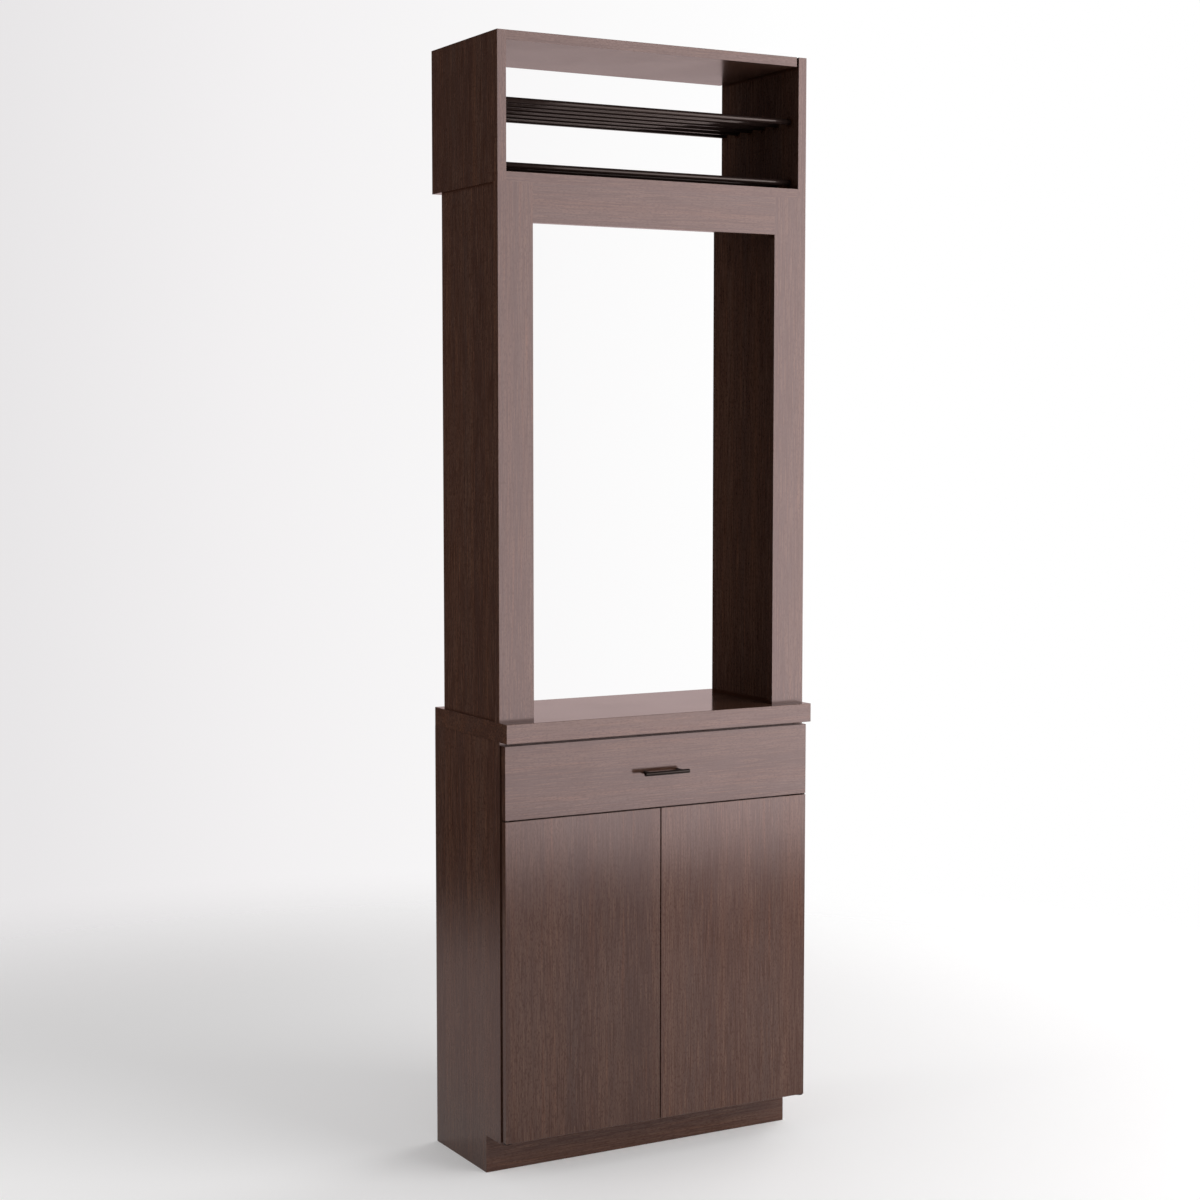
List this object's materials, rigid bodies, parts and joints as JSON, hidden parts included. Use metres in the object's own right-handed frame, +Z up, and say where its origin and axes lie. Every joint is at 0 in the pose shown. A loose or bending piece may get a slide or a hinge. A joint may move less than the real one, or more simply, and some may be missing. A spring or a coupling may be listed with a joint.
{
  "type": "wine tasting station",
  "caption": "Tall tasting bar: base cabinet with a drawer over doors, thick countertop, open hutch on boxed posts, and a top box with rod racks for bottles.",
  "frame": {"origin": "on the floor, centred on the width and on the overall depth from the pull to the back face", "axes": "+X to the right seen from the front, +Y to the back, +Z up"},
  "size_m": [0.7112, 0.344, 2.2465],
  "materials": {
    "veneer_vertical": "espresso walnut veneer, upright grain, semi-gloss lacquer",
    "veneer_horizontal": "espresso walnut veneer, level grain, semi-gloss lacquer",
    "counter_veneer": "espresso walnut veneer, level grain, glossy lacquer",
    "birch_ply": "clear satin birch plywood",
    "bronze_metal": "dark bronze, satin gloss",
    "zinc_steel": "bright zinc plated",
    "grey_plastic": "dark grey moulded",
    "white_plastic": "natural white moulded"
  },
  "bodies": {
    "cabinet": {"left_side_panel": "veneer_vertical", "right_side_panel": "veneer_vertical", "cabinet_back": "veneer_vertical", "left_stile": "veneer_vertical", "right_stile": "veneer_vertical", "left_post_outer_board": "veneer_vertical", "right_post_outer_board": "veneer_vertical", "left_post_inner_board": "veneer_vertical", "right_post_inner_board": "veneer_vertical", "post_rear_strips": "veneer_vertical", "box_left_side": "veneer_vertical", "box_right_side": "veneer_vertical", "cabinet_floor": "veneer_horizontal", "front_top_rail": "veneer_horizontal", "rear_top_rail": "veneer_horizontal", "divider_rail": "veneer_horizontal", "toe_kick_board": "veneer_horizontal", "cabinet_shelf": "veneer_horizontal", "header_rail": "veneer_horizontal", "box_floor": "veneer_horizontal", "box_top": "veneer_horizontal", "countertop": "counter_veneer", "post_end_blocks": "birch_ply", "cabinet_tongues": "birch_ply", "box_tongues": "birch_ply", "lower_rack_rods": "bronze_metal", "upper_rack_rods": "bronze_metal", "pivot_brackets": "bronze_metal", "slide_cabinet_members": "zinc_steel", "shelf_pins": "zinc_steel", "latch_housings": "grey_plastic"},
    "drawer": {"drawer_front": "veneer_horizontal", "drawer_inner_front": "birch_ply", "drawer_left_side": "birch_ply", "drawer_right_side": "birch_ply", "drawer_back": "birch_ply", "drawer_bottom": "birch_ply", "pull_bar": "bronze_metal", "pull_posts": "bronze_metal", "slide_drawer_members": "zinc_steel"},
    "slide_middle": {"slide_middle_members": "zinc_steel"},
    "outer_ball_cages": {"slide_outer_ball_cages": "white_plastic"},
    "inner_ball_cages": {"slide_inner_ball_cages": "white_plastic"},
    "left_door": {"left_door": "veneer_vertical", "left_pivot_bushes": "bronze_metal", "left_strike_plate": "zinc_steel"},
    "right_door": {"right_door": "veneer_vertical", "right_pivot_bushes": "bronze_metal", "right_strike_plate": "zinc_steel"},
    "left_plunger": {"left_latch_plunger": "grey_plastic"},
    "right_plunger": {"right_latch_plunger": "grey_plastic"}
  },
  "joints": [
    {"name": "drawer_slide", "type": "slide", "parent": "cabinet", "child": "drawer", "axis": [0, -1, 0], "range_m": [0, 0.24]},
    {"name": "slide_middle_travel", "type": "slide", "parent": "cabinet", "child": "slide_middle", "axis": [0, -1, 0], "range_m": [0, 0.12]},
    {"name": "outer_cage_travel", "type": "slide", "parent": "cabinet", "child": "outer_ball_cages", "axis": [0, -1, 0], "range_m": [0, 0.06]},
    {"name": "inner_cage_travel", "type": "slide", "parent": "cabinet", "child": "inner_ball_cages", "axis": [0, -1, 0], "range_m": [0, 0.18]},
    {"name": "left_door_hinge", "type": "hinge", "parent": "cabinet", "child": "left_door", "pos_m": [-0.3471, -0.13528, 0.4], "axis": [0, 0, -1], "range_deg": [0, 110]},
    {"name": "right_door_hinge", "type": "hinge", "parent": "cabinet", "child": "right_door", "pos_m": [0.3471, -0.13528, 0.4], "axis": [0, 0, 1], "range_deg": [0, 110]},
    {"name": "left_latch_press", "type": "slide", "parent": "cabinet", "child": "left_plunger", "axis": [0, 1, 0], "range_m": [0, 0.002], "stiffness_N_per_m": 300},
    {"name": "right_latch_press", "type": "slide", "parent": "cabinet", "child": "right_plunger", "axis": [0, 1, 0], "range_m": [0, 0.002], "stiffness_N_per_m": 300}
  ],
  "couplings": [
    {"joint": "slide_middle_travel", "follows": "drawer_slide", "ratio": 0.5},
    {"joint": "outer_cage_travel", "follows": "drawer_slide", "ratio": 0.25},
    {"joint": "inner_cage_travel", "follows": "drawer_slide", "ratio": 0.75}
  ]
}
